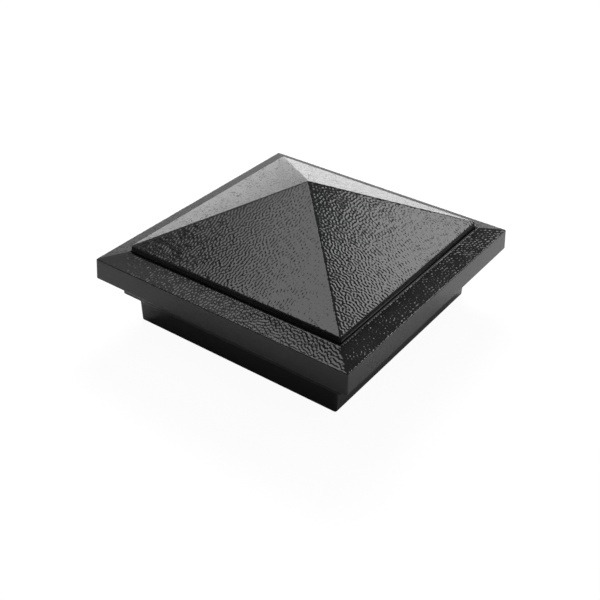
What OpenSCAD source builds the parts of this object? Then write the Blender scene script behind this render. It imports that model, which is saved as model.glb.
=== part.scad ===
// Square fence post cap with a pyramid top.
// Four kinds of piece: a pyramid cover that lifts off, an apron frame, a collar
// that slips over the post, and four screws that hold the frame to the collar.
// Z = 0 is the bottom edge of the collar and the Z axis runs up through the apex.
// Radii of square shapes are half-widths, measured square to a side.

/* [Post] */
// Width of the square post that the collar slips over
post_w = 88.9; // [86:0.1:96]
// Gap between the post and each grip rib
grip_gap = 0.25; // [0.15:0.05:0.6]

/* [Collar] */
// Height of the plain collar below the neck
collar_h = 13.4; // [11:0.2:20]
// Thickness of the collar wall where it meets the neck
collar_wall = 2.7; // [2.2:0.1:3]
// Width of the step from the collar out to the neck
neck_step = 4.3; // [4:0.1:5.5]
// Height of the neck between the collar and the rim
neck_h = 8.2; // [7:0.2:12]

/* [Frame] */
// How far the rim stands out beyond the neck
rim_overhang = 6.4; // [6:0.1:9]
// Height of the vertical rim
rim_h = 8.9; // [8.4:0.1:12]
// Sloping width of the apron, measured level
apron_run = 9.65; // [9:0.05:10.5]
// Height that the apron climbs
apron_rise = 2.4; // [2:0.1:3.5]

/* [Pyramid] */
// Height of the upright riser that shows above the apron
riser_h = 2.5; // [2:0.1:5]
// Height from the top of the riser to the apex
pyramid_h = 23.6; // [20:0.2:40]

/* [Mouldings] */
// Wall thickness of the mouldings
wall = 2.4; // [2:0.1:2.6]
// Thickness of the stiffening ribs
rib = 1.6; // [1.2:0.1:2]

/* [Fixings] */
// Distance between the post screw holes
hole_spacing = 50; // [46:1:54]
// Diameter of the post screw holes
hole_d = 4.5; // [4:0.1:5]

/* [Hidden] */
$fn = 48;

// Colours
cover_black = [0.13, 0.13, 0.13];
frame_black = [0.11, 0.11, 0.11];
collar_black = [0.07, 0.07, 0.07];
zinc = [0.72, 0.73, 0.75];

// Overlap that fuses two shapes, and the reach of a cut past a face
fuse = 0.2;
past = 1;

// Collar: half-widths at the neck end, and how far each face drafts by the mouth
grip_rib_h = 0.9;
grip_rib_w = 1.6;
grip_lead = 2.5;
collar_in = post_w / 2 + grip_gap + grip_rib_h;
collar_out = collar_in + collar_wall;
draft_out = 0.27;
draft_in = 0.2;

// Half-widths outwards from the collar
neck_wall = 2.2;
neck_out = collar_out + neck_step;
neck_in = neck_out - neck_wall;
rim_top = neck_out + rim_overhang;
rim_flare = 0.5;
rim_in = rim_top - 2.1;
flange_out = rim_top - 2.4;

// Half-widths inwards from the rim
apron_slope = apron_rise / apron_run;
land_out = rim_top - apron_run + 0.85;
rebate_half = rim_top - apron_run + 0.25;
foot_half = rebate_half - 0.2;
eave_half = rim_top - apron_run - 0.25;
opening_half = rebate_half - 2.4;
cover_in = eave_half - wall;
upstand_out = opening_half + 2.3;

// Distance between the webs along each side
web_pitch = rim_top / 3;

// Levels
neck_z = collar_h;
rim_z = neck_z + neck_h;
deck_top = rim_z + wall;
apron_z = rim_z + rim_h;
land_z = apron_z + apron_slope * (rim_top - land_out);
rebate_z = land_z - 0.8;
eave_z = apron_z + apron_rise + riser_h;
apex_z = eave_z + pyramid_h;

// Pyramid roof, outside and inside
roof_slope = pyramid_h / eave_half;
roof_drop = wall * sqrt(1 + roof_slope * roof_slope);
function roof_in(r) = apex_z - roof_drop - roof_slope * r;
rib_depth = 3.5;
rib_foot = 1.5;

// Screw bosses and ears in the corners
ear_top = rebate_z - 1.5;
ear_z = ear_top - wall;
screw_at = opening_half - 6.6;
boss_r = 3.8;
ear_in = opening_half - 13.2;
shank_r = 1.7;
core_r = 1.4;
pilot_r = 1.45;
clear_r = 1.9;
head_r = 3.3;
head_h = 2.2;
point_r = 0.5;
point_h = 1;
recess_len = 3.8;
recess_w = 0.9;
recess_h = 1.3;
pilot_floor = 1.2;
screw_reach = ear_top - rim_z - pilot_floor - 0.6;

// Pegs of the cover and the sockets that they push into
peg_at = opening_half - 5.2;
peg_r = 2;
peg_tip = 0.7;
peg_z = deck_top + 1.6;
socket_r = 3.8;
socket_bore = 2.05;
socket_z = deck_top + 0.6;
socket_top = rebate_z - 0.9;

// Tabs that centre the cover in the opening
tab_t = 2;
tab_len = 14;
tab_at = 24;
tab_gap = 0.3;
tab_z = rebate_z - 4.5;

// Post screw holes: a raised pad with a countersink, and the ribs between the pads
deck_rib_h = 2;
pad_r = 7;
pad_h = 1.2;
sink_r = 4.5;
sink_h = sink_r - hole_d / 2;

// Solid whose level sections are squares: half lists [half-width, z] upwards
module square_turn(half) {
    long = 2 * max([for (p = half) p[0]]) + 2 * past;
    outline = concat(half, [for (i = [len(half) - 1:-1:0]) if (half[i][0] > 0) [-half[i][0], half[i][1]]]);
    intersection() {
        rotate([90, 0, 0]) linear_extrude(long, center = true) polygon(outline);
        rotate([90, 0, 90]) linear_extrude(long, center = true) polygon(outline);
    }
}

// Straight square block from z0 to z1
module square_block(half_w, z0, z1) {
    translate([-half_w, -half_w, z0]) cube([2 * half_w, 2 * half_w, z1 - z0]);
}

// Repeats a child on each of the four sides
module each_side() {
    for (k = [0:3]) rotate([0, 0, 90 * k]) children();
}

// Stands a child outline, drawn as [distance from the axis, z], across +X with a thickness
module stand_up(thickness) {
    rotate([90, 0, 0]) linear_extrude(thickness, center = true) children();
}

module cover_shell() {
    difference() {
        square_turn([[foot_half, rebate_z], [eave_half, eave_z], [0, apex_z]]);
        square_turn([[cover_in, rebate_z - past], [cover_in, roof_in(cover_in)], [0, roof_in(0)]]);
    }
}

// Two ribs that cross under the apex and run out to the pegs
module cover_ribs() {
    end = cover_in + fuse;
    for (turn = [0, 90]) rotate([0, 0, turn]) stand_up(rib) polygon([
        [-end, roof_in(end) - rib_foot], [0, roof_in(0) - rib_depth], [end, roof_in(end) - rib_foot],
        [end, roof_in(end) + 1], [0, roof_in(0) + 1], [-end, roof_in(end) + 1]
    ]);
}

module cover_tabs() {
    each_side() for (s = [-1, 1])
        translate([opening_half - tab_gap - tab_t, s * tab_at - tab_len / 2, tab_z])
            cube([tab_t, tab_len, roof_in(opening_half) - tab_z + 1.5]);
}

module cover_pegs() {
    each_side() translate([peg_at, 0, 0]) {
        translate([0, 0, peg_z]) cylinder(h = peg_tip, r1 = peg_r - peg_tip, r2 = peg_r);
        translate([0, 0, peg_z + peg_tip]) cylinder(h = roof_in(peg_at) - peg_z, r = peg_r);
    }
}

module pyramid_cover() {
    color(cover_black) union() {
        cover_shell();
        cover_ribs();
        cover_tabs();
        cover_pegs();
    }
}

// Rim, apron and the upstand round the opening, hollow underneath
module frame_shell() {
    difference() {
        square_turn([[rim_top + rim_flare, rim_z], [rim_top, apron_z], [land_out, land_z]]);
        square_block(rebate_half, rebate_z, land_z + past);
        square_block(opening_half, rim_z - past, land_z + past);
        difference() {
            square_turn([
                [rim_in, rim_z - past], [rim_in, apron_z - wall],
                [upstand_out, apron_z - wall + apron_slope * (rim_in - upstand_out)]
            ]);
            square_block(upstand_out, deck_top, apron_z);
        }
    }
}

module frame_gussets() {
    each_side() for (k = [-2:2])
        translate([0, k * web_pitch, 0]) stand_up(rib) polygon([
            [upstand_out - fuse, deck_top], [rim_in + fuse, deck_top],
            [rim_in + fuse, apron_z - wall + fuse], [upstand_out - fuse, apron_z - wall + fuse]
        ]);
}

module frame_ears() {
    far = opening_half + fuse;
    cut = ear_in + 6;
    each_side() translate([0, 0, ear_z]) difference() {
        linear_extrude(wall)
            polygon([[ear_in, far], [ear_in, cut], [cut, ear_in], [far, ear_in], [far, far]]);
        translate([screw_at, screw_at, -past]) cylinder(h = wall + 2 * past, r = clear_r);
    }
}

module frame_sockets() {
    h = socket_top - socket_z;
    each_side() translate([peg_at, 0, socket_z]) difference() {
        union() {
            cylinder(h = h, r = socket_r);
            translate([0, -socket_r / 2, 0]) cube([opening_half + fuse - peg_at, socket_r, h]);
        }
        translate([0, 0, -past]) cylinder(h = h + 2 * past, r = socket_bore);
    }
}

module apron_frame() {
    color(frame_black) union() {
        frame_shell();
        frame_gussets();
        frame_ears();
        frame_sockets();
    }
}

// Tube round the post with the deck that stops it, then the neck and its flange
module collar_shell() {
    difference() {
        union() {
            square_turn([[collar_out - draft_out, 0], [collar_out, neck_z + fuse], [collar_out, deck_top]]);
            difference() {
                union() {
                    square_block(neck_out, neck_z, deck_top);
                    square_block(flange_out, rim_z, deck_top);
                }
                square_block(neck_in, neck_z + neck_wall, deck_top + past);
            }
        }
        square_turn([[collar_in + draft_in * (1 + past / rim_z), -past], [collar_in, rim_z]]);
    }
}

// Webs that tie the neck to the tube across the channel between them
module neck_webs() {
    each_side() for (k = [-2:2])
        translate([collar_out - fuse, k * web_pitch - rib / 2, neck_z + neck_wall - fuse])
            cube([neck_in - collar_out + 2 * fuse, rib, rim_z - neck_z - neck_wall]);
}

module grip_ribs() {
    face = post_w / 2 + grip_gap;
    root = collar_in + draft_in + 0.3;
    each_side() for (s = [-1, 0, 1])
        translate([0, s * post_w * 0.32, 0]) stand_up(grip_rib_w) polygon([
            [root, 1], [face, 1 + grip_lead], [face, rim_z + fuse], [root, rim_z + fuse]
        ]);
}

module deck_ribs() {
    half = hole_spacing / 2;
    each_side() {
        translate([half - rib / 2, -half, deck_top - fuse]) cube([rib, hole_spacing, deck_rib_h + fuse]);
        rotate([0, 0, 45]) translate([half * sqrt(2), -rib / 2, deck_top - fuse])
            cube([(screw_at - half) * sqrt(2), rib, deck_rib_h + fuse]);
    }
}

module deck_bosses() {
    half = hole_spacing / 2;
    each_side() {
        translate([half, half, deck_top - fuse]) cylinder(h = pad_h + fuse, r = pad_r);
        translate([screw_at, screw_at, deck_top - fuse]) cylinder(h = ear_z - deck_top + fuse, r = boss_r);
    }
}

module deck_holes() {
    half = hole_spacing / 2;
    pad_top = deck_top + pad_h;
    each_side() {
        translate([half, half, 0]) {
            translate([0, 0, rim_z - past]) cylinder(h = wall + pad_h + 2 * past, d = hole_d);
            translate([0, 0, pad_top - sink_h]) cylinder(h = sink_h, r1 = hole_d / 2, r2 = sink_r);
            translate([0, 0, pad_top]) cylinder(h = deck_rib_h, r = sink_r);
        }
        translate([screw_at, screw_at, rim_z + pilot_floor]) cylinder(h = ear_z, r = pilot_r);
    }
}

module post_collar() {
    color(collar_black) difference() {
        union() {
            collar_shell();
            neck_webs();
            grip_ribs();
            deck_ribs();
            deck_bosses();
        }
        deck_holes();
    }
}

// Pan head screw, drawn with the underside of its head at z = 0
module pan_screw() {
    rim = 0.55 * head_h;
    core_h = screw_reach - point_h - wall + fuse;
    difference() {
        union() {
            cylinder(h = rim, r = head_r);
            translate([0, 0, rim]) cylinder(h = head_h - rim, r1 = head_r, r2 = 0.68 * head_r);
            translate([0, 0, -wall]) cylinder(h = wall, r = shank_r);
            translate([0, 0, -screw_reach + point_h]) cylinder(h = core_h, r = core_r);
            translate([0, 0, -screw_reach]) cylinder(h = point_h, r1 = point_r, r2 = core_r);
        }
        for (turn = [0, 90]) rotate([0, 0, turn])
            translate([-recess_len / 2, -recess_w / 2, head_h - recess_h])
                cube([recess_len, recess_w, recess_h + past]);
    }
}

module frame_screw(k) {
    color(zinc) rotate([0, 0, 90 * k]) translate([screw_at, screw_at, ear_top]) pan_screw();
}

pyramid_cover();
apron_frame();
post_collar();
frame_screw(0);  // frame_screw_1
frame_screw(1);  // frame_screw_2
frame_screw(2);  // frame_screw_3
frame_screw(3);  // frame_screw_4
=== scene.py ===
"""Square fence post cap: pyramid cover, apron frame, post collar and four screws, on a pale floor."""
import math

import bmesh
import bpy
import numpy as np
from bpy.props import FloatProperty, FloatVectorProperty, IntProperty, PointerProperty
from mathutils import Matrix, Vector


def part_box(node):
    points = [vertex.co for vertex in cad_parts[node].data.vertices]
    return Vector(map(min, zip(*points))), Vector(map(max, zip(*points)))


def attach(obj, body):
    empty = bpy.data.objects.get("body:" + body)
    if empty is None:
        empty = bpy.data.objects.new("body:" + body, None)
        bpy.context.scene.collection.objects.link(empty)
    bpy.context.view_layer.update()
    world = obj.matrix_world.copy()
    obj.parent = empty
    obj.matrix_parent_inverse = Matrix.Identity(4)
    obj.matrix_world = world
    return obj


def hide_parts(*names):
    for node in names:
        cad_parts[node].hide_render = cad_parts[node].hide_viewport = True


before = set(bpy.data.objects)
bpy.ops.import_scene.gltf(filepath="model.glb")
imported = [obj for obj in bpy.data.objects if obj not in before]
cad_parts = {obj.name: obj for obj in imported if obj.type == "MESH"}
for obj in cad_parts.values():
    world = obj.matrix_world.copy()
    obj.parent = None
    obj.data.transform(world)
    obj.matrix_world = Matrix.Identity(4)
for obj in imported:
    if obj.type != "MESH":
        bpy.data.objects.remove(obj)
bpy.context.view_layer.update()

bl_info = {
    "name": "Fence post cap",
    "version": (1, 0, 0),
    "blender": (4, 5, 0),
    "location": "View3D > Sidebar > Post Cap",
    "description": "Builds the looks of a square fence post cap round its packed frame",
    "category": "Add Mesh",
}

MM = 0.001
COVER_LOW, COVER_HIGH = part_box("pyramid_cover")
FRAME_LOW, FRAME_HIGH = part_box("apron_frame")
COLLAR_LOW, COLLAR_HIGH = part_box("post_collar")
SCREW_LOW, SCREW_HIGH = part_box("frame_screw_1")

# Sizes that the settings leave out
RIB = 1.6 * MM            # thickness of every rib and web but the sockets' own
MERGE = 0.2 * MM          # how far a rib or web runs into the wall beside it
INNER_WALL = 2.3 * MM     # thickness of the frame's wall round the opening
RIM_WALL = 2.1 * MM       # thickness of the rim
NECK_WALL = 2.2 * MM      # thickness of the neck's wall and floor
RISER_DRAFT = 0.3 * MM    # how far the riser leans in from foot to eave
PEG_INSET = 5.2 * MM      # distance of the pegs' axes inside the opening
PEG_RADIUS = 2 * MM
PEG_HOLE = 2.05 * MM      # radius of the sockets that take the pegs
BOSS_RADIUS = 3.8 * MM    # outer radius of the peg sockets and screw bosses
PILOT_HOLE = 1.45 * MM    # radius of the hole in a screw boss
EAR_HOLE = 1.9 * MM
POST_HOLE = 2.25 * MM
POST_SINK = 4.5 * MM      # radius of the countersink's mouth
SINK_EDGE = 4.3 * MM      # where the deck's ribs stop short of a post hole's axis
DECK_RIB_RISE = 2 * MM
WEBS = range(-2, 3)       # places of the webs along each side, in web pitches from its middle

# Mesh columns: a coarse row keeps all of them this near a corner and one in so many along the sides
CORNER_ZONE = 2.4 * MM
SIDE_STEP = 10


# ---------------------------------------------------------------- settings

class CapSizes(bpy.types.PropertyGroup):
    """Sizes that the frame's boxes don't give."""

    wall: FloatProperty(name="Wall", description="Thickness of the mouldings",
                        default=2.4 * MM, unit="LENGTH")
    edge: FloatProperty(name="Edge radius", description="Rounding of the visible edges",
                        default=0.4 * MM, unit="LENGTH")
    inner_edge: FloatProperty(name="Inner edge radius", description="Rounding of the hidden edges",
                              default=0.2 * MM, unit="LENGTH")
    corner: FloatProperty(name="Corner radius", description="Rounding of the upright corners",
                          default=0.55 * MM, unit="LENGTH")
    apex_blunt: FloatProperty(name="Apex blunting", description="Rounding of the apex",
                              default=0.4 * MM, unit="LENGTH")
    collar_corner: FloatProperty(name="Collar corner", description="Rounding of the collar's corners",
                                 default=0.8 * MM, unit="LENGTH")
    rim_height: FloatProperty(name="Rim height", description="Height of the upright rim",
                              default=8.9 * MM, unit="LENGTH")
    rim_flare: FloatProperty(name="Rim flare", description="How far the rim's foot stands out past its top",
                             default=0.5 * MM, unit="LENGTH")
    apron_run: FloatProperty(name="Apron run", description="Level width of the sloping apron",
                             default=9.65 * MM, unit="LENGTH")
    apron_rise: FloatProperty(name="Apron rise", description="Height that the apron climbs",
                              default=2.4 * MM, unit="LENGTH")
    riser: FloatProperty(name="Riser", description="Height of the riser above the apron",
                         default=2.5 * MM, unit="LENGTH")
    land: FloatProperty(name="Land", description="Smooth level margin round the riser's foot",
                        default=0.6 * MM, unit="LENGTH")
    rebate: FloatProperty(name="Rebate", description="Depth of the ledge that the cover sits in",
                          default=0.8 * MM, unit="LENGTH")
    seam: FloatProperty(name="Seam", description="Gap round the cover's foot",
                        default=0.2 * MM, unit="LENGTH")
    neck_height: FloatProperty(name="Neck height", description="Height of the step below the rim",
                               default=8.2 * MM, unit="LENGTH")
    neck_half: FloatProperty(name="Neck", description="Half-width of the neck",
                             default=52.6 * MM, unit="LENGTH")
    collar_half: FloatProperty(name="Collar", description="Half-width of the collar under the neck",
                               default=48.3 * MM, unit="LENGTH")
    socket_half: FloatProperty(name="Socket", description="Half-width of the socket at the deck",
                               default=45.6 * MM, unit="LENGTH")
    hole_spacing: FloatProperty(name="Hole spacing", description="Distance between the post screw holes",
                                default=50 * MM, unit="LENGTH")


class CapFinish(bpy.types.PropertyGroup):
    """Colours and grain of the finishes."""

    black: FloatVectorProperty(name="Black", description="Colour of the moulded plastic",
                               default=(0.0105, 0.0105, 0.0108), size=3, subtype="COLOR", min=0, max=1)
    zinc: FloatVectorProperty(name="Zinc", description="Colour of the plated screws",
                              default=(0.62, 0.63, 0.65), size=3, subtype="COLOR", min=0, max=1)
    gloss: FloatProperty(name="Roughness", description="Roughness of the smooth plastic",
                         default=0.11, min=0, max=1, subtype="FACTOR")
    grain_pitch: FloatProperty(name="Grain pitch", description="Distance between the grain's ridges",
                               default=1.2 * MM, unit="LENGTH")
    grain_depth: FloatProperty(name="Grain depth", description="Depth of the moulded grain",
                               default=0.12 * MM, unit="LENGTH")
    grain_step: FloatProperty(name="Grain mesh", description="Spacing of the mesh that carries the grain",
                              default=0.34 * MM, unit="LENGTH")
    seed: IntProperty(name="Seed", description="Choice of the random grain", default=7)


class CapStage(bpy.types.PropertyGroup):
    """The camera and the room's even light."""

    azimuth: FloatProperty(name="Azimuth", description="Camera's turn round the cap",
                           default=math.radians(35.55), subtype="ANGLE")
    elevation: FloatProperty(name="Elevation", description="Camera's height above level",
                             default=math.radians(34.77), subtype="ANGLE")
    roll: FloatProperty(name="Roll", description="Camera's lean to one side",
                        default=math.radians(0.93), subtype="ANGLE")
    distance: FloatProperty(name="Distance", description="Camera's distance in rim half-widths",
                            default=6.55)
    aim: FloatVectorProperty(name="Aim", size=2, default=(-0.048, -0.381),
                             description="Offset of the aim right and up, in rim half-widths")
    lens: FloatProperty(name="Lens", description="Focal length", default=57.74, unit="CAMERA")
    world: FloatProperty(name="Room light", description="Strength of the even light all round",
                         default=0.095)


# ---------------------------------------------------------------- surfaces

def weld_grid(rows, columns, closed_rows, kept=None):
    """Faces of a grid of rows and columns, closed round the columns and, if asked, round the rows.

    Rows run so that the outside is on the left of their travel, and columns run anticlockwise.
    kept gives for each row and column the column whose vertex is used there, so that a fine row
    can meet a coarse one: corners that fall together turn a face into a triangle or drop it.
    """
    row = np.arange(rows if closed_rows else rows - 1)
    column = np.arange(columns)
    near, side = np.meshgrid(row, column, indexing="ij")
    far = (near + 1) % rows
    beside = (side + 1) % columns
    if kept is None:
        kept = np.broadcast_to(column, (rows, columns))
    corners = [(near, side), (far, side), (far, beside), (near, beside)]
    return np.stack([(r * columns + kept[r, c]).ravel() for r, c in corners], axis=1)


def square_faces(n):
    """Faces of a grid of n by n points, outward where the rows step along x and the columns along y."""
    i, j = np.meshgrid(np.arange(n - 1), np.arange(n - 1), indexing="ij")
    first = (i * n + j).ravel()
    return np.stack([first, first + n, first + n + 1, first + 1], axis=1)


def tidy_faces(faces):
    """Splits faces of four corners into quads and triangles: a corner said twice in a row is said once."""
    same = faces == np.roll(faces, -1, axis=1)
    count = same.sum(axis=1)
    quads = faces[count == 0]
    single = faces[count == 1]
    keep = ~same[count == 1]
    triangles = single[keep].reshape(-1, 3)
    return quads, triangles


class Surface:
    """Vertices and faces gathered from several shapes, then made into one mesh."""

    def __init__(self):
        self.points = []
        self.quads = []
        self.triangles = []
        self.values = {}
        self.count = 0

    def add(self, points, faces, **values):
        """Adds points (n, 3) and faces (m, 4); values are numbers for each point, such as the grain."""
        quads, triangles = tidy_faces(faces)
        self.quads.append(quads + self.count)
        self.triangles.append(triangles + self.count)
        self.points.append(points)
        for name in ("grain", "grained"):
            self.values.setdefault(name, []).append(
                np.broadcast_to(values.get(name, 0.0), len(points)))
        self.count += len(points)

    def mesh(self, name):
        """Writes the gathered arrays into a mesh, leaving out the vertices that no face uses."""
        points = np.concatenate(self.points)
        quads = np.concatenate(self.quads)
        triangles = np.concatenate(self.triangles)
        used, where = np.unique(np.concatenate([quads.ravel(), triangles.ravel()]), return_inverse=True)
        totals = np.concatenate([np.full(len(quads), 4), np.full(len(triangles), 3)])
        starts = np.concatenate([[0], np.cumsum(totals)[:-1]])
        mesh = bpy.data.meshes.new(name)
        mesh.vertices.add(len(used))
        mesh.vertices.foreach_set("co", points[used].astype(np.float32).ravel())
        mesh.loops.add(len(where))
        mesh.loops.foreach_set("vertex_index", where.astype(np.int32))
        mesh.polygons.add(len(totals))
        mesh.polygons.foreach_set("loop_start", starts.astype(np.int32))
        mesh.polygons.foreach_set("loop_total", totals.astype(np.int32))
        mesh.polygons.foreach_set("use_smooth", np.ones(len(totals), bool))
        mesh.update(calc_edges=True)
        for key, parts in self.values.items():
            layer = mesh.attributes.new(key, "FLOAT", "POINT")
            layer.data.foreach_set("value", np.concatenate(parts)[used].astype(np.float32))
        welded = bmesh.new()
        welded.from_mesh(mesh)
        bmesh.ops.remove_doubles(welded, verts=welded.verts, dist=0.0002 * MM)
        welded.to_mesh(mesh)
        welded.free()
        mesh.validate()
        return mesh


def make_piece(name, surface, material, body, slot, *nodes):
    """One finished piece: it rides on a body and stands for the named CAD nodes."""
    piece = bpy.data.objects.new(name, surface.mesh(name))
    bpy.context.scene.collection.objects.link(piece)
    piece.data.materials.append(material)
    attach(piece, body)
    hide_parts(*nodes)


def round_profile(corners, steps=4, hold=0.05 * MM):
    """A closed profile of (half, z) points with each corner (half, z, radius) rounded to an arc.

    The arc touches both of the corner's sides; it is drawn as equal steps of angle between the two
    sides' directions, with a holding point just before and after it so that the flats stay flat.
    A fourth number fills the side after that corner with points about that far apart.
    """
    points = []
    count = len(corners)
    for i in range(count):
        here = np.array(corners[i][:2])
        radius = corners[i][2]
        before = np.array(corners[i - 1][:2]) - here
        after = np.array(corners[(i + 1) % count][:2]) - here
        room = 0.45 * min(np.hypot(*before), np.hypot(*after))
        before = before / np.hypot(*before)
        after = after / np.hypot(*after)
        half_angle = math.acos(max(-1.0, min(1.0, float(before @ after)))) / 2
        if radius == 0:
            points.append(here)
            continue
        reach = min(radius / math.tan(half_angle), room)
        radius = reach * math.tan(half_angle)
        middle = here + (before + after) / np.hypot(*(before + after)) * radius / math.sin(half_angle)
        start = here + before * reach - middle
        end = here + after * reach - middle
        turn = math.atan2(start[0] * end[1] - start[1] * end[0], start @ end)
        points.append(here + before * (reach + hold))
        for k in range(steps + 1):
            angle = turn * k / steps
            c, s = math.cos(angle), math.sin(angle)
            swung = np.array([c * start[0] - s * start[1], s * start[0] + c * start[1]])
            points.append(middle + swung)
        points.append(here + after * (reach + hold))
        if len(corners[i]) > 3:
            along = np.array(corners[(i + 1) % count][:2]) - points[-1]
            length = np.hypot(*along)
            pieces = int(length / corners[i][3])
            fractions = (np.arange(1, pieces) / pieces)[:, None]
            points.extend(points[-1] + along * fractions[:-1])
    return np.array(points)


def round_square(flat, half, corner):
    """Moves points of a square of that half-width on to one whose corners are arcs of radius corner.

    flat holds x and y in a last axis. Past the arc's centre on both axes a point is put at the
    arc's radius from that centre, in the same direction; elsewhere it stays.
    """
    inner = (half - corner)[..., None]
    size = np.abs(flat)
    over = np.maximum(size - inner, 0)
    length = np.maximum(np.hypot(over[..., 0], over[..., 1]), 1e-12)[..., None]
    pulled = np.minimum(size, inner) + over / length * corner[..., None]
    return np.sign(flat) * np.where(over.min(axis=-1, keepdims=True) > 0, pulled, size)


def unit_square(lines):
    """Points once round the unit square: lines from -1 to 1 along each side, the last one left out."""
    t = lines[:-1]
    one = np.ones_like(t)
    sides = [(one, t), (-t, one), (-one, -t), (t, -one)]
    return np.concatenate([np.stack(side, axis=1) for side in sides])


def grid_lines(half, step):
    """Evenly spaced lines from -1 to 1 whose spacing at that half-width is close to step."""
    return np.linspace(-1, 1, 2 * int(round(half / step)) + 1)


def coarse_columns(lines, half, corner_zone, every):
    """For each column round the square, the column that stands for it on a coarse row.

    Columns within corner_zone of a corner all stay; along the sides only every so many do.
    """
    index = np.arange(len(lines) - 1)
    depth = half * (1 - np.abs(lines[:-1]))
    stays = (depth < corner_zone) | (index % every == 0)
    kept = index[stays][np.searchsorted(index[stays], index, side="right") - 1]
    return np.concatenate([kept + k * len(index) for k in range(4)])


def add_turned(surface, profile, corner, lines, coarse, fine_rows=None, grain=None, closed=True):
    """Adds a square turning: each profile point (half, z) becomes a ring, a square with round corners.

    corner is the rings' corner radius, one number or one for each row. fine_rows marks the rows that
    use every column. grain(points) gives for each point its rise, its grain value and its mask.
    """
    rows = len(profile)
    ring = unit_square(lines)
    half = np.repeat(profile[:, :1], len(ring), axis=1)
    radius = np.broadcast_to(np.broadcast_to(corner, rows)[:, None], half.shape)
    radius = np.minimum(radius, half * 0.5)
    flat = round_square(ring[None] * half[..., None], half, radius)
    z = np.repeat(profile[:, 1:], len(ring), axis=1)
    points = np.concatenate([flat, z[..., None]], axis=-1)
    kept = np.repeat(coarse[None], rows, axis=0)
    if fine_rows is not None:
        kept[fine_rows] = np.arange(len(ring))
    kept[profile[:, 0] == 0] = 0
    values = {}
    if grain is not None:
        rise, values["grain"], values["grained"] = grain(points)
        points[..., 2] += rise
        values = {key: value.ravel() for key, value in values.items()}
    surface.add(points.reshape(-1, 3), weld_grid(rows, len(ring), closed, kept), **values)


def add_lathe(surface, profile, centre, turns=48, swell=None, closed=False):
    """Adds a turning: each profile point (radius, z) becomes a circle about the upright through centre.

    swell(radius, z, angle) may first move the points in and out or up and down.
    """
    angle = np.linspace(0, 2 * np.pi, turns, endpoint=False)
    radius = np.repeat(profile[:, :1], turns, axis=1)
    z = np.repeat(profile[:, 1:], turns, axis=1)
    if swell is not None:
        radius, z = swell(radius, z, angle[None])
    x = centre[0] + radius * np.cos(angle)
    y = centre[1] + radius * np.sin(angle)
    points = np.stack([x, y, centre[2] + z], axis=-1)
    kept = np.repeat(np.arange(turns)[None], len(profile), axis=0)
    kept[profile[:, 0] == 0] = 0
    surface.add(points.reshape(-1, 3), weld_grid(len(profile), turns, closed, kept))


def add_block(surface, low, high, radius=0.2 * MM, bend=None, turn=0.0):
    """Adds a box with round edges, turned about the z axis.

    A point of the plain box past the inner box, which is smaller by the radius all round, is put at
    the radius from the inner box's nearest point. bend(points) may then move the points.
    """
    low, high = np.array(low, float), np.array(high, float)
    middle, half = (low + high) / 2, (high - low) / 2
    radius = min(radius, 0.45 * half.min())
    edge = np.array([0, 0.45, 1, 1.2]) * radius
    for axis in range(3):
        a, b = (axis + 1) % 3, (axis + 2) % 3
        spans = [np.concatenate([-half[i] + edge, (half[i] - edge)[::-1]]) for i in (a, b)]
        u, v = np.meshgrid(*spans, indexing="ij")
        for side in (-1, 1):
            point = np.empty(u.shape + (3,))
            point[..., axis] = side * half[axis]
            point[..., a] = u if side > 0 else u[::-1]
            point[..., b] = v
            inner = np.clip(point, radius - half, half - radius)
            out = point - inner
            point = inner + out / np.linalg.norm(out, axis=-1, keepdims=True) * radius + middle
            if bend is not None:
                point = bend(point)
            point[..., 0], point[..., 1] = turned_point(point[..., 0], point[..., 1], turn)
            surface.add(point.reshape(-1, 3), square_faces(len(u)))


def add_web(surface, start, end, y, bottom, top, turn, radius=0.2 * MM, bend=None):
    """Adds a web of a rib's thickness along x from start to end, with its middle at y, then turned."""
    add_block(surface, (start, y - RIB / 2, bottom), (end, y + RIB / 2, top), radius, bend, turn)


def quarter_turns():
    """The four sides' turns about the axis."""
    return [k * math.pi / 2 for k in range(4)]


def turned_point(x, y, angle):
    """(x, y) turned about the axis."""
    return x * math.cos(angle) - y * math.sin(angle), x * math.sin(angle) + y * math.cos(angle)


# ---------------------------------------------------------------- grain

def wave_field(points, pitch, seed, waves=96, spread=0.16):
    """A smooth random field over the plan whose ridges lie about one pitch apart.

    It is the sum of level cosine waves in random directions and phases, each with a wavelength
    drawn close to the pitch, scaled to a standard deviation of 1.
    """
    random = np.random.default_rng(seed)
    heading = random.uniform(0, 2 * np.pi, waves)
    direction = np.stack([np.cos(heading), np.sin(heading)], axis=1)
    number = 2 * np.pi / pitch * np.exp(random.normal(size=waves) * spread)
    phase = random.uniform(0, 2 * np.pi, waves)
    flat = points[..., :2].reshape(-1, 2)
    total = np.zeros(len(flat))
    for way, k, start in zip(direction, number, phase):
        total += np.cos(flat @ (way * k) + start)
    return (total * math.sqrt(2 / waves)).reshape(points.shape[:-1])


def smooth_step(low, high, value):
    """0 below low, 1 above high, and a smooth S between them."""
    t = np.clip((value - low) / (high - low), 0, 1)
    return t * t * (3 - 2 * t)


def moulded_grain(points, finish):
    """Height of the moulded grain from 0 in the pits to 1 on the ridges.

    Worm-like ridges are flattened above and below by a tanh, and a second field cuts narrow pits.
    """
    worms = wave_field(points, finish.grain_pitch, finish.seed)
    pits = wave_field(points, finish.grain_pitch * 1.2, finish.seed + 1)
    ridge = 0.5 + 0.5 * np.tanh(worms + 0.2)
    pit = smooth_step(1.1, 2.1, pits)
    return np.clip(0.8 * ridge + 0.2 - 0.45 * pit, 0, 1)


# ---------------------------------------------------------------- materials

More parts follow.
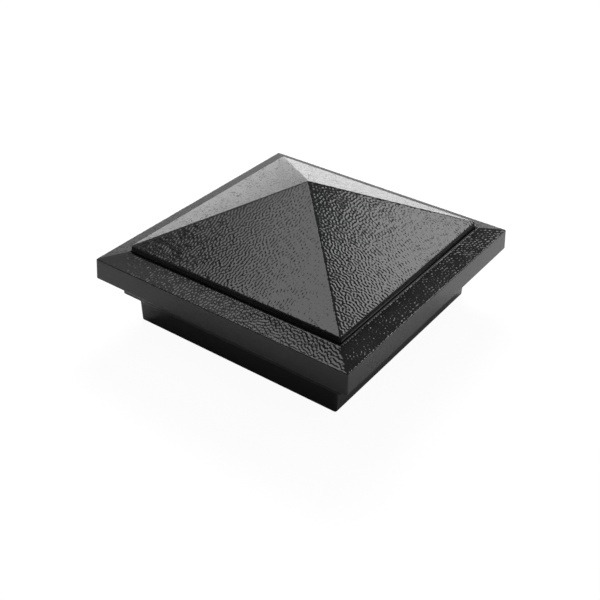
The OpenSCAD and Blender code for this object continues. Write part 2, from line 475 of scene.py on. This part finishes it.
class Shade:
    """A socket of a material's nodes, so that shader maths is written as Python maths."""

    def __init__(self, finish, socket):
        self.finish = finish
        self.socket = socket

    def _join(self, operation, *values):
        return self.finish.node("ShaderNodeMath", {"operation": operation}, *values)

    def __add__(self, other):
        return self._join("ADD", self, other)

    def __sub__(self, other):
        return self._join("SUBTRACT", self, other)

    def __rsub__(self, other):
        return self._join("SUBTRACT", other, self)

    def __mul__(self, other):
        return self._join("MULTIPLY", self, other)

    __radd__ = __add__
    __rmul__ = __mul__


class Finish:
    """One material and the nodes that it is made of."""

    def __init__(self, name):
        self.material = bpy.data.materials.new(name)
        self.material.use_nodes = True
        self.tree = self.material.node_tree
        self.shader = self.tree.nodes["Principled BSDF"]

    def node(self, kind, settings, *values, output=0, **named):
        """Adds a node, sets it up, gives its inputs values or links, and returns one output as a Shade."""
        made = self.tree.nodes.new(kind)
        for key, value in settings.items():
            setattr(made, key, value)
        for key, value in [*enumerate(values), *named.items()]:
            self.feed(made.inputs[key], value)
        return Shade(self, made.outputs[output])

    def feed(self, socket, value):
        """Links a Shade to the socket, or sets the socket's own value."""
        if isinstance(value, Shade):
            self.tree.links.new(value.socket, socket)
        else:
            socket.default_value = value

    def shade(self, **inputs):
        """Feeds the shader's sockets, named with underscores for spaces."""
        for key, value in inputs.items():
            self.feed(self.shader.inputs[key.replace("_", " ")], value)

    def place(self, stretch=(1, 1, 1)):
        """The point on the surface in the object's own metres, stretched along each axis."""
        coordinates = self.node("ShaderNodeTexCoord", {}, output="Object")
        return self.node("ShaderNodeMapping", {}, Vector=coordinates, Scale=stretch)

    def noise(self, vector, scale, detail):
        """Soft noise from 0 to 1 with about scale blobs a metre."""
        return self.node("ShaderNodeTexNoise", {}, Vector=vector, Scale=scale, Detail=detail)

    def ramp(self, value, low, high, start=0.0, end=1.0):
        """value mapped from low..high to start..end with a smooth S, held outside."""
        return self.node("ShaderNodeMapRange", {"interpolation_type": "SMOOTHSTEP"}, Value=value, **{
            "From Min": low, "From Max": high, "To Min": start, "To Max": end})

    def blend(self, mask, first, second):
        """Colour that goes from first to second with the mask."""
        mix = self.tree.nodes.new("ShaderNodeMix")
        mix.data_type = "RGBA"
        self.feed(mix.inputs[0], mask)
        self.feed(mix.inputs[6], (*first, 1))
        self.feed(mix.inputs[7], (*second, 1))
        return Shade(self, mix.outputs[2])

    def attribute(self, name):
        """A number stored on the piece's points."""
        return self.node("ShaderNodeAttribute", {"attribute_name": name}, output="Fac")

    def bump(self, height, distance, normal=None):
        """A normal tilted by a height from 0 to 1 that stands for that distance."""
        links = {"Height": height, "Distance": distance}
        if normal is not None:
            links["Normal"] = normal
        return self.node("ShaderNodeBump", {}, **links)


def black_plastic(finish):
    """Moulded black plastic with faint streaks; the grain's ridges are glossier than its pits, and paler,
    as its pits are painted darker as painted shade.
    """
    paint = Finish("black_plastic")
    here = paint.place()
    grained = paint.attribute("grained")
    grain = paint.attribute("grain")
    cloud = paint.noise(here, 60.0, detail=3.0)
    speck = paint.noise(here, 1800.0, detail=1.0)
    streak = paint.noise(paint.place((1, 1, 0.06)), 700.0, detail=2.0)
    dark = tuple(0.75 * c for c in finish.black)
    light = tuple(1.5 * c for c in finish.black)
    # painted shade: the tone rises with the grain's height, so the grain's pits are painted darker than its
    # ridges
    tone = paint.ramp(cloud, 0.3, 0.7, 0.2, 0.7) + 0.25 * grained * grain
    smooth_rough = paint.ramp(cloud, 0.3, 0.7, finish.gloss - 0.03, finish.gloss + 0.03)
    ridge_rough = grained * (0.02 - 0.08 * grain)
    rough = smooth_rough + ridge_rough + paint.ramp(speck, 0.3, 0.7, -0.02, 0.02)
    relief = paint.bump(speck, 0.003 * MM)
    relief = paint.bump(streak, 0.004 * MM, normal=relief)
    paint.shade(Base_Color=paint.blend(tone, dark, light), Roughness=rough, Normal=relief, IOR=1.5)
    return paint.material


def zinc_plate(finish):
    """Bright zinc on steel: a cool metal with soft cloudy patches and fine scratches."""
    paint = Finish("zinc_plate")
    here = paint.place()
    cloud = paint.noise(here, 500.0, detail=4.0)
    scratch = paint.noise(paint.place((1, 0.08, 1)), 9000.0, detail=1.0)
    dark = tuple(0.8 * c for c in finish.zinc)
    tone = paint.ramp(cloud, 0.3, 0.7)
    rough = paint.ramp(cloud, 0.3, 0.7, 0.24, 0.4)
    relief = paint.bump(scratch, 0.004 * MM)
    colour = paint.blend(tone, dark, finish.zinc)
    paint.shade(Base_Color=colour, Metallic=1.0, Roughness=rough, Normal=relief)
    return paint.material


def pale_floor(finish):
    """A lit white table: near white with a faint shadow to the camera, and satin grey in reflections."""
    paint = Finish("pale_floor")
    seen = paint.node("ShaderNodeLightPath", {}, output="Is Camera Ray")
    paint.shade(Base_Color=(0.6, 0.6, 0.6, 1), Roughness=0.35, IOR=1.5)
    glow = paint.node("ShaderNodeEmission", {}, Color=(1, 1, 1, 1), Strength=0.95)
    paper = paint.node("ShaderNodeBsdfDiffuse", {}, Color=(0.06, 0.06, 0.06, 1))
    lit = paint.node("ShaderNodeAddShader", {}, paper, glow)
    mixed = paint.node("ShaderNodeMixShader", {}, seen, Shade(paint, paint.shader.outputs[0]), lit)
    paint.feed(paint.tree.nodes["Material Output"].inputs["Surface"], mixed)
    return paint.material


def shared(name, maker):
    """The material of that name, made once."""
    found = bpy.data.materials.get(name)
    return found or maker(bpy.context.scene.cap_finish)


# ---------------------------------------------------------------- sub-parts

class Levels:
    """Heights and half-widths shared by the pieces, worked out from the frame's boxes and the sizes."""

    def __init__(self, sizes):
        self.rim_z = FRAME_LOW.z
        self.rim_foot = FRAME_HIGH.x
        self.rim_top = self.rim_foot - sizes.rim_flare
        self.apron_z = self.rim_z + sizes.rim_height
        self.slope = sizes.apron_rise / sizes.apron_run
        self.land_z = FRAME_HIGH.z
        self.foot_half = COVER_HIGH.x
        self.rebate_half = self.foot_half + sizes.seam
        self.land_half = self.rebate_half + sizes.land
        self.rebate_z = self.land_z - sizes.rebate
        self.opening = self.rebate_half - sizes.wall
        self.upstand = self.opening + INNER_WALL
        self.deck_top = self.rim_z + sizes.wall
        self.eave_half = self.foot_half - RISER_DRAFT
        self.eave_z = self.apron_z + sizes.apron_rise + sizes.riser
        self.apex_z = COVER_HIGH.z
        self.cover_in = self.eave_half - sizes.wall
        self.roof_slope = (self.apex_z - self.eave_z) / self.eave_half
        self.roof_drop = sizes.wall * math.hypot(1, self.roof_slope)
        self.peg_z = COVER_LOW.z
        self.peg_at = self.opening - PEG_INSET
        self.ear_z = COLLAR_HIGH.z
        self.ear_top = self.ear_z + sizes.wall
        self.screw_at = (SCREW_LOW.x + SCREW_HIGH.x) / 2
        self.flange = COLLAR_HIGH.x
        self.neck_z = self.rim_z - sizes.neck_height
        self.web_pitch = self.rim_top / 3

    def roof_in(self, r):
        """Height of the roof's underside at a half-width."""
        return self.apex_z - self.roof_drop - self.roof_slope * r


class CAP_OT_pyramid_cover(bpy.types.Operator):
    """Build the pyramid cover: grained roof and riser, ribs, centring tabs and pegs"""

    bl_idname = "cap.pyramid_cover"
    bl_label = "Pyramid cover"

    def execute(self, context):
        sizes = context.scene.cap_sizes
        at = Levels(sizes)
        surface = Surface()
        self.add_shell(surface, sizes, context.scene.cap_finish, at)
        self.add_ribs(surface, at)
        self.add_tabs(surface, at)
        self.add_pegs(surface, at)
        make_piece("pyramid_cover_moulding", surface, shared("black_plastic", black_plastic),
                   "cover", "cover_black", "pyramid_cover")
        return {"FINISHED"}

    def add_shell(self, surface, sizes, finish, at):
        """Roof on a square grid whose rings have round corners, then rows down the riser and back inside.

        Height falls with the ring's half-width as a softened cone: slope times the root of the
        half-width squared and the apex's blunting squared.
        """
        profile = round_profile([
            (0.0, at.apex_z, 0),
            (at.eave_half, at.eave_z, sizes.edge),
            (at.foot_half, at.rebate_z, 0.15 * MM),
            (at.cover_in, at.rebate_z, 0.15 * MM),
            (at.cover_in, at.roof_in(at.cover_in), 0.8 * MM),
            (0.0, at.roof_in(0), 0)])[1:]
        roof_half = profile[0, 0]
        lines = grid_lines(roof_half, finish.grain_step)
        coarse = coarse_columns(lines, roof_half, CORNER_ZONE, SIDE_STEP)
        u, v = np.meshgrid(lines, lines, indexing="ij")
        half = np.maximum(np.abs(u), np.abs(v)) * roof_half
        flat = np.stack([u, v], axis=-1) * roof_half
        corner = np.minimum(sizes.corner, half * 0.5)
        flat = round_square(flat, half, corner)
        blunt = sizes.apex_blunt
        sunk = np.hypot(half, blunt) - half - (np.hypot(roof_half, blunt) - roof_half)
        z = at.apex_z - at.roof_slope * (half + sunk)
        points = np.concatenate([flat, z[..., None]], axis=-1)
        grain = moulded_grain(points, finish)
        points[..., 2] -= finish.grain_depth * (1 - grain)
        surface.add(points.reshape(-1, 3), square_faces(len(lines)), grain=grain.ravel(), grained=1.0)

        def edge_grain(p):
            """The roof's grain, faded out round the eave."""
            fade = smooth_step(at.eave_z - 0.25 * MM, at.eave_z - 0.02 * MM, p[..., 2])
            g = moulded_grain(p, finish)
            return -finish.grain_depth * (1 - g) * fade, g, fade

        eave_rows = 6
        fine = np.arange(len(profile)) < eave_rows
        add_turned(surface, profile, sizes.corner, lines, coarse, fine, edge_grain, closed=False)

    def add_ribs(self, surface, at):
        """Two crossed ribs under the roof, drawn as four arms from the middle.

        Each arm is a box a millimetre high, whose height is then stretched between the rib's slanting
        foot and a line just inside the roof.
        """
        end = at.cover_in + MERGE
        into_roof = 0.5 * MM
        depth = 3.5 * MM
        lost_depth = 2 * MM

        def follow_roof(p):
            r = np.abs(p[..., 0])
            top = at.roof_in(r) + into_roof
            bottom = at.roof_in(0) - depth - r / end * (at.roof_in(0) - lost_depth - at.roof_in(end))
            p[..., 2] = bottom + (top - bottom) * p[..., 2] / MM
            return p

        for turn in quarter_turns():
            add_web(surface, -0.35 * MM, end, 0, 0, MM, turn, 0.25 * MM, follow_roof)

    def add_tabs(self, surface, at):
        """A centring tab on each side of each peg, just inside the frame's opening."""
        outer = at.opening - 0.3 * MM
        inner = at.opening - 2.3 * MM
        along = 24 * MM
        half = 7 * MM
        bottom = at.rebate_z - 4.5 * MM
        top = at.roof_in(at.opening) + 1.4 * MM
        for angle in quarter_turns():
            for side in (-1, 1):
                low = (inner, side * along - half, bottom)
                high = (outer, side * along + half, top)
                add_block(surface, low, high, 0.35 * MM, turn=angle)

    def add_pegs(self, surface, at):
        """Four pegs that hang from the roof, each with a tapered tip."""
        height = at.roof_in(at.peg_at) + 0.4 * MM - at.peg_z
        tip_height = 0.7 * MM
        tip_radius = 1.3 * MM
        profile = round_profile([
            (0, height, 0), (PEG_RADIUS, height, 0.2 * MM), (PEG_RADIUS, tip_height, 0.3 * MM),
            (tip_radius, 0, 0.2 * MM), (0, 0, 0)], steps=3)
        for angle in quarter_turns():
            x, y = turned_point(at.peg_at, 0, angle)
            add_lathe(surface, profile, (x, y, at.peg_z), 32)


class CAP_OT_apron_frame(bpy.types.Operator):
    """Build the apron frame: rim, grained apron, inner wall, gussets, screw ears and peg sockets"""

    bl_idname = "cap.apron_frame"
    bl_label = "Apron frame"

    def execute(self, context):
        sizes = context.scene.cap_sizes
        at = Levels(sizes)
        surface = Surface()
        self.add_shell(surface, sizes, context.scene.cap_finish, at)
        self.add_ears(surface, at)
        self.add_sockets(surface, at)
        self.add_gussets(surface, sizes, at)
        make_piece("apron_frame_moulding", surface, shared("black_plastic", black_plastic),
                   "base", "frame_black", "apron_frame")
        return {"FINISHED"}

    def add_shell(self, surface, sizes, finish, at):
        """Closed section of rim, apron and inner wall, carried round a square."""
        rim_in = at.rim_top - RIM_WALL
        ceiling = at.apron_z - sizes.wall
        soft = sizes.inner_edge
        step = 0.07 * MM
        profile = round_profile([
            (at.rebate_half, at.land_z, 0.12 * MM),
            (at.land_half, at.land_z, 0.03 * MM),
            (at.land_half + step, at.land_z - step, 0.02 * MM, finish.grain_step),
            (at.rim_top, at.apron_z, sizes.edge),
            (at.rim_foot, at.rim_z, sizes.edge),
            (rim_in, at.rim_z, soft),
            (rim_in, ceiling, soft),
            (at.upstand, ceiling + at.slope * (rim_in - at.upstand), soft),
            (at.upstand, at.deck_top, soft),
            (at.opening, at.deck_top, soft),
            (at.opening, at.rebate_z, 0.15 * MM),
            (at.rebate_half, at.rebate_z, 0.1 * MM)])
        lines = grid_lines(at.rim_top, finish.grain_step)
        coarse = coarse_columns(lines, at.rim_top, CORNER_ZONE, SIDE_STEP)
        outer = profile[:, 0] > at.land_half - 0.2 * MM
        fine = outer & (profile[:, 1] > at.apron_z - 0.5 * MM)

        def apron_grain(p):
            """The apron's grain, faded out at the rim's top edge and at the smooth land."""
            half = np.abs(p[..., :2]).max(axis=-1)
            fade = smooth_step(at.apron_z - 0.3 * MM, at.apron_z - 0.03 * MM, p[..., 2])
            fade = fade * smooth_step(at.land_half + 0.02 * MM, at.land_half + 0.12 * MM, half)
            g = moulded_grain(p, finish)
            return -finish.grain_depth * (1 - g) * fade, g, fade

        add_turned(surface, profile, sizes.corner, lines, coarse, fine, apron_grain)

    def add_ears(self, surface, at):
        """In each corner a flat ear with a screw hole.

        Its outline is the nearest of its edge lines along each ray from the hole's centre.
        """
        inner = at.opening - 13.2 * MM
        reach = at.opening + MERGE
        angle = np.linspace(0, 2 * np.pi, 96, endpoint=False)
        ray = np.stack([np.cos(angle), np.sin(angle)])
        slant = math.sqrt(0.5)
        cut = 6 * MM
        edges = [
            (1, 0, reach - at.screw_at),
            (0, 1, reach - at.screw_at),
            (-1, 0, at.screw_at - inner),
            (0, -1, at.screw_at - inner),
            (-slant, -slant, (2 * at.screw_at - 2 * inner - cut) * slant)]
        along_rays = [d / np.maximum(nx * ray[0] + ny * ray[1], 1e-3) for nx, ny, d in edges]
        outline = np.min(along_rays, axis=0)
        lip = 0.25 * MM
        top, bottom = at.ear_top, at.ear_z
        # whether the row is on the outline, how far it stands off the outline or hole, and its height
        rows = [(0, 0, top - lip), (0, lip, top), (0, 2 * lip, top),
                (1, -2 * lip, top), (1, -lip, top), (1, 0, top - lip),
                (1, 0, bottom + lip), (1, -lip, bottom), (0, lip, bottom), (0, 0, bottom + lip)]
        for turn in quarter_turns():
            x, y = turned_point(at.screw_at, at.screw_at, turn)
            radius = np.stack([np.where(out, outline, EAR_HOLE) + inset for out, inset, _ in rows])
            z = np.stack([np.full(len(angle), height) for _, _, height in rows])
            across, along = x + radius * np.cos(angle + turn), y + radius * np.sin(angle + turn)
            points = np.stack([across, along, z], axis=-1)
            surface.add(points.reshape(-1, 3), weld_grid(len(rows), len(angle), True))

    def add_sockets(self, surface, at):
        """A ring for each peg of the cover, tied to the inner wall by a web."""
        low, high = at.deck_top + 0.6 * MM, at.rebate_z - 0.9 * MM
        web_half = 1.9 * MM
        inset = 0.1 * MM
        profile = round_profile([
            (PEG_HOLE, high, 0.3 * MM), (BOSS_RADIUS, high, 0.3 * MM),
            (BOSS_RADIUS, low, 0.3 * MM), (PEG_HOLE, low, 0.2 * MM)], steps=3)
        web_low = (at.peg_at + 3 * MM, -web_half, low + inset)
        web_high = (at.opening + MERGE, web_half, high - inset)
        for angle in quarter_turns():
            x, y = turned_point(at.peg_at, 0, angle)
            add_lathe(surface, profile, (x, y, 0), 48, closed=True)
            add_block(surface, web_low, web_high, 0.3 * MM, turn=angle)

    def add_gussets(self, surface, sizes, at):
        """Five stiffening webs along each side between the rim and the inner wall."""
        start = at.upstand - MERGE
        end = at.rim_top - RIM_WALL + MERGE
        bottom = at.deck_top + 0.02 * MM
        top = at.apron_z - sizes.wall + MERGE
        for turn in quarter_turns():
            for k in WEBS:
                add_web(surface, start, end, k * at.web_pitch, bottom, top, turn)


class CAP_OT_post_collar(bpy.types.Operator):
    """Build the post collar: sleeve, neck and flange, deck with countersunk holes, ribs and bosses"""

    bl_idname = "cap.post_collar"
    bl_label = "Post collar"

    def execute(self, context):
        sizes = context.scene.cap_sizes
        at = Levels(sizes)
        surface = Surface()
        self.add_sleeve(surface, sizes, at)
        self.add_deck(surface, sizes, at)
        self.add_side_ribs(surface, sizes, at)
        self.add_deck_ribs(surface, sizes, at)
        make_piece("post_collar_moulding", surface, shared("black_plastic", black_plastic),
                   "base", "collar_black", "post_collar")
        return {"FINISHED"}

    def add_sleeve(self, surface, sizes, at):
        """Closed section of sleeve, channel, neck and flange, carried round a square."""
        soft = sizes.inner_edge
        floor = at.neck_z + NECK_WALL
        neck_in = sizes.neck_half - NECK_WALL
        top = at.deck_top - 0.02 * MM
        foot_out = sizes.collar_half - 0.27 * MM
        foot_in = sizes.socket_half + 0.2 * MM
        profile = round_profile([
            (sizes.socket_half, top, soft),
            (sizes.collar_half, top, soft),
            (sizes.collar_half, floor, soft),
            (neck_in, floor, soft),
            (neck_in, at.deck_top, soft),
            (at.flange, at.deck_top, soft),
            (at.flange, at.rim_z, soft),
            (sizes.neck_half, at.rim_z, sizes.edge),
            (sizes.neck_half, at.neck_z, 1.2 * sizes.edge),
            (sizes.collar_half, at.neck_z, sizes.edge),
            (foot_out, 0.0, 1.2 * sizes.edge),
            (foot_in, 0.0, sizes.edge)])
        lines = grid_lines(sizes.neck_half, 0.4 * MM)
        coarse = coarse_columns(lines, sizes.neck_half, corner_zone=3 * MM, every=14)
        corner = np.where(profile[:, 0] > sizes.neck_half + MM, sizes.corner, sizes.collar_corner)
        add_turned(surface, profile, corner, lines, coarse)

    def add_deck(self, surface, sizes, at):
        """The deck as four square quarters, each with a hole, a countersink and a raised pad.

        Most rows are circles about the hole. The first and last are the quarter's own square outline,
        and the rows next to them hold the flat just inside it. Each point lies on the ray from the hole
        to its point of the outline. Only the two outer sides of a quarter get a wall.
        """
        width = sizes.socket_half + 0.5 * MM
        hole_at = sizes.hole_spacing / 2
        outline = (unit_square(np.linspace(-1, 1, 25)) + 1) * width / 2
        ray = outline - hole_at
        ray /= np.linalg.norm(ray, axis=1, keepdims=True)
        bottom, top, pad = at.rim_z, at.deck_top, at.deck_top + 1.2 * MM
        hole, sink = POST_HOLE, POST_SINK
        cone_foot = pad - sink + hole
        circles = np.array([
            (9 * MM, bottom),
            (hole + 0.15 * MM, bottom),
            (hole, bottom + 0.15 * MM),
            (hole, cone_foot - 0.1 * MM),
            (hole + 0.1 * MM, cone_foot + 0.05 * MM),
            (sink - 0.1 * MM, pad - 0.15 * MM),
            (sink + 0.1 * MM, pad),
            (6.7 * MM, pad),
            (6.9 * MM, pad - 0.06 * MM),
            (7 * MM, pad - 0.25 * MM),
            (7 * MM, top + 0.2 * MM),
            (7.2 * MM, top),
            (7.5 * MM, top)])
        held = 0.985
        rows = len(circles) + 4
        points = np.empty((rows, len(outline), 3))
        points[0, :, :2] = points[-1, :, :2] = outline
        points[1, :, :2] = points[-2, :, :2] = hole_at + held * (outline - hole_at)
        points[:2, :, 2], points[-2:, :, 2] = bottom, top
        points[2:-2, :, :2] = hole_at + circles[:, None, :1] * ray
        points[2:-2, :, 2] = circles[:, 1:]
        faces = weld_grid(rows, len(outline), True)
        wall = faces[-len(outline):]
        ends = points.reshape(-1, 3)[wall][:, (0, 2), :2]
        outer = (ends > width - 1e-6).all(axis=1).any(axis=1)
        faces = np.concatenate([faces[:-len(outline)], wall[outer]])
        for turn in quarter_turns():
            turned = points.copy()
            turned[..., 0], turned[..., 1] = turned_point(points[..., 0], points[..., 1], turn)
            surface.add(turned.reshape(-1, 3), faces)

    def add_side_ribs(self, surface, sizes, at):
        """Three grip ribs on each side of the socket, and five webs in each side of the channel.

        A grip rib's face slopes back to the wall at its foot, to lead the post in.
        """
        face = sizes.socket_half - 0.9 * MM
        root = sizes.socket_half + 0.5 * MM
        foot = 1 * MM
        lead = 2.5 * MM
        grip_pitch = 0.32 * (2 * face - 0.5 * MM)

        def taper(p):
            share = np.clip(1 - (p[..., 2] - foot) / lead, 0, 0.95)
            p[..., 0] += (root - p[..., 0]) * share
            return p

        start = sizes.collar_half - MERGE
        end = sizes.neck_half - NECK_WALL + MERGE
        floor = at.neck_z + NECK_WALL - MERGE
        top = at.rim_z + MERGE
        for turn in quarter_turns():
            for k in (-1, 0, 1):
                add_web(surface, face, root, k * grip_pitch, foot, top, turn, 0.25 * MM, taper)
            for k in WEBS:
                add_web(surface, start, end, k * at.web_pitch, floor, at.rim_z, turn)

    def add_deck_ribs(self, surface, sizes, at):
        """Ribs that tie the post holes to each other and to the screw bosses, and the bosses."""
        half = sizes.hole_spacing / 2
        bottom = at.deck_top - MERGE
        top = at.deck_top + DECK_RIB_RISE
        start = half * math.sqrt(2) + SINK_EDGE
        end = at.screw_at * math.sqrt(2) - 2 * MM
        root = at.deck_top - 0.3 * MM
        boss = round_profile([
            (PILOT_HOLE, at.ear_z, 0.15 * MM), (BOSS_RADIUS, at.ear_z, 0.25 * MM),
            (BOSS_RADIUS, root, 0.05 * MM), (PILOT_HOLE, root, 0.05 * MM)], steps=3)
        for angle in quarter_turns():
            low = (half - RIB / 2, SINK_EDGE - half, bottom)
            high = (half + RIB / 2, half - SINK_EDGE, top)
            add_block(surface, low, high, 0.25 * MM, turn=angle)
            add_web(surface, start, end, 0, bottom, top, angle + math.pi / 4, 0.25 * MM)
            x, y = turned_point(at.screw_at, at.screw_at, angle)
            add_lathe(surface, boss, (x, y, 0), 40, closed=True)


class CAP_OT_frame_screws(bpy.types.Operator):
    """Build the four pan head screws with their crossed recess and thread"""

    bl_idname = "cap.frame_screws"
    bl_label = "Frame screws"

    def execute(self, context):
        at = Levels(context.scene.cap_sizes)
        for k, turn in enumerate(quarter_turns()):
            surface = Surface()
            x, y = turned_point(at.screw_at, at.screw_at, turn)
            self.add_screw(surface, (x, y, at.ear_top), 0.35 + 0.9 * k)
            make_piece(f"pan_head_screw_{k + 1}", surface, shared("zinc_plate", zinc_plate),
                       "base", "screw_zinc", f"frame_screw_{k + 1}")
        return {"FINISHED"}

    def add_screw(self, surface, centre, twist):
        """A turned screw: a cross of two smooth bars is sunk in the head, and a thread swells the core.

        The thread's height is the square of a triangle wave of z over the pitch less the angle in turns.
        """
        head_radius = 3.3 * MM
        head_height = 2.2 * MM
        shank = 1.7 * MM
        core = 1.4 * MM
        depth = SCREW_HIGH.z - SCREW_LOW.z - head_height
        thread_top = -2.6 * MM
        thread_pitch = 1.2 * MM
        thread_height = 0.32 * MM
        recess = 1.3 * MM
        crown_radius = 0.72 * head_radius
        crown = np.linspace(0, crown_radius, 20)
        dome = [(r, head_height - 0.09 * head_height * (r / head_radius) ** 2) for r in crown]
        side = round_profile([
            (crown_radius, dome[-1][1], 0), (head_radius, 0.55 * head_height, 0.55 * MM),
            (head_radius, 0, 0.15 * MM), (shank, 0, 0.1 * MM), (shank, -2.5 * MM, 0)])[1:-1]
        thread = [(core, z) for z in np.arange(thread_top, -depth + 1.1 * MM, -0.12 * MM)]
        point = [(core, -depth + MM), (0.5 * MM, -depth + 0.1 * MM), (0, -depth)]
        profile = np.array([*dome, *side, *thread, *point])

        def bar(across, along):
            """1 inside a bar through the axis and 0 outside it, from distances across and along it."""
            narrow = smooth_step(-0.62 * MM, -0.38 * MM, -across)
            return narrow * smooth_step(-1.95 * MM, -1.6 * MM, -along)

        def shape(radius, z, angle):
            turned = angle + twist
            across, along = np.abs(radius * np.cos(turned)), np.abs(radius * np.sin(turned))
            cross = np.maximum(bar(across, along), bar(along, across))
            sunk = cross * recess * (1 - 0.35 * radius / (2 * MM))
            z_out = z - np.where(z > 0.8 * head_height, sunk, 0)
            wave = np.abs(((z / thread_pitch - angle / (2 * np.pi)) % 1) - 0.5) * 2
            threaded = (z < thread_top) & (radius > 0.6 * MM)
            return radius + np.where(threaded, thread_height * wave ** 2, 0), z_out

        add_lathe(surface, profile, centre, swell=shape)


# name, azimuth and elevation in degrees as seen from the cap, distance, width and height in metres,
# radiance, and whether the light is mirrored in the surfaces
LIGHTS = (
    ("top_softbox", 180, 69.5, 0.8, (0.4, 0.36), 2.6, True),
    ("right_softbox", 70, 38, 0.8, (0.3, 0.2), 3.8, True),
    ("back_wall", 130, 8, 1.2, (2.2, 0.42), 0.6, True),
    ("left_wall", 160, 42, 1.0, (0.7, 0.45), 0.4, True),
    ("low_right_panel", 45, 13, 0.9, (0.5, 0.24), 0.9, True),
    ("low_left_panel", 228, 13, 0.9, (0.5, 0.24), 0.4, True),
    ("edge_panel", 52, 33, 0.8, (0.16, 0.14), 7.0, True),
    ("back_table_lamp", 124, 40, 0.45, (0.3, 0.15), 26.0, False),
    ("front_fill", 305, 60, 1.0, (0.9, 0.7), 0.5, True),
)


class CAP_OT_stage(bpy.types.Operator):
    """Set up the floor, the lights, the room's light and the camera"""

    bl_idname = "cap.stage"
    bl_label = "Stage"

    def execute(self, context):
        scene = context.scene
        stage = scene.cap_stage
        self.add_floor()
        self.set_world(scene, stage.world)
        self.add_camera(scene, stage)
        for light in LIGHTS:
            self.add_light(*light)
        scene.view_settings.view_transform = "Standard"
        scene.view_settings.look = "None"
        return {"FINISHED"}

    def add_floor(self):
        """A square sheet, wide enough to fill every view."""
        surface = Surface()
        side = 4.0
        low = -0.05 * MM
        corners = [(-side, -side, low), (side, -side, low), (side, side, low), (-side, side, low)]
        surface.add(np.array(corners), np.array([[0, 1, 2, 3]]))
        floor = bpy.data.objects.new("floor", surface.mesh("floor"))
        bpy.context.scene.collection.objects.link(floor)
        floor.data.materials.append(shared("pale_floor", pale_floor))

    def set_world(self, scene, strength):
        """Even white light from all round, which the camera itself sees as plain white."""
        world = bpy.data.worlds.new("room")
        world.use_nodes = True
        tree = world.node_tree
        background = tree.nodes["Background"]
        background.inputs["Color"].default_value = (1, 1, 1, 1)
        seen = tree.nodes.new("ShaderNodeLightPath")
        level = tree.nodes.new("ShaderNodeMapRange")
        level.inputs["To Min"].default_value = strength
        tree.links.new(seen.outputs["Is Camera Ray"], level.inputs["Value"])
        tree.links.new(level.outputs[0], background.inputs["Strength"])
        scene.world = world

    def add_light(self, name, azimuth, elevation, distance, size, radiance, mirrored):
        """A soft panel that faces the cap from that direction; its power follows from its radiance."""
        middle = Vector((0, 0, 30 * MM))
        a, e = math.radians(azimuth), math.radians(elevation)
        toward = Vector((math.cos(a) * math.cos(e), math.sin(a) * math.cos(e), math.sin(e)))
        data = bpy.data.lights.new(name, "AREA")
        data.shape = "RECTANGLE"
        data.size, data.size_y = size
        data.energy = radiance * math.pi * size[0] * size[1]
        light = bpy.data.objects.new(name, data)
        light.location = middle + toward * distance
        light.rotation_euler = toward.to_track_quat("Z", "Y").to_euler()
        light.visible_camera = False
        light.visible_glossy = mirrored
        bpy.context.scene.collection.objects.link(light)

    def add_camera(self, scene, stage):
        """The camera looks at the middle of the rim's top, shifted by the aim, and leans by the roll."""
        a, e = stage.azimuth, stage.elevation
        back = Vector((math.sin(a) * math.cos(e), -math.cos(a) * math.cos(e), math.sin(e)))
        right = Vector((math.cos(a), math.sin(a), 0))
        right = Matrix.Rotation(stage.roll, 3, back) @ right
        up = back.cross(right)
        at = Levels(scene.cap_sizes)
        target = Vector((0, 0, at.apron_z)) + (right * stage.aim[0] + up * stage.aim[1]) * at.rim_top
        data = bpy.data.cameras.new("camera")
        data.lens = stage.lens
        data.sensor_width = 36
        data.clip_start, data.clip_end = 0.01, 20
        camera = bpy.data.objects.new("camera", data)
        axes = Matrix((right, up, back)).transposed().to_4x4()
        camera.matrix_world = Matrix.Translation(target + back * stage.distance * at.rim_top) @ axes
        scene.collection.objects.link(camera)
        scene.camera = camera


class CAP_PT_panel(bpy.types.Panel):
    """The cap's settings and the buttons that build it"""

    bl_idname = "CAP_PT_panel"
    bl_label = "Post Cap"
    bl_space_type = "VIEW_3D"
    bl_region_type = "UI"
    bl_category = "Post Cap"

    def draw(self, context):
        for group in (context.scene.cap_sizes, context.scene.cap_finish, context.scene.cap_stage):
            box = self.layout.box()
            for key in group.__annotations__:
                box.prop(group, key)
        for operator in OPERATORS:
            self.layout.operator(operator.bl_idname)


GROUPS = {"cap_sizes": CapSizes, "cap_finish": CapFinish, "cap_stage": CapStage}
OPERATORS = (
    CAP_OT_pyramid_cover,
    CAP_OT_apron_frame,
    CAP_OT_post_collar,
    CAP_OT_frame_screws,
    CAP_OT_stage,
)
CLASSES = (*GROUPS.values(), *OPERATORS, CAP_PT_panel)


def register():
    """Adds the classes and the scene's settings."""
    for cls in CLASSES:
        bpy.utils.register_class(cls)
    for name, group in GROUPS.items():
        setattr(bpy.types.Scene, name, PointerProperty(type=group))


def unregister():
    """Takes away the scene's settings and the classes."""
    for name in GROUPS:
        delattr(bpy.types.Scene, name)
    for cls in reversed(CLASSES):
        bpy.utils.unregister_class(cls)


def main():
    register()
    bpy.ops.cap.pyramid_cover()
    bpy.ops.cap.apron_frame()
    bpy.ops.cap.post_collar()
    bpy.ops.cap.frame_screws()
    bpy.ops.cap.stage()


if __name__ == "__main__":
    main()
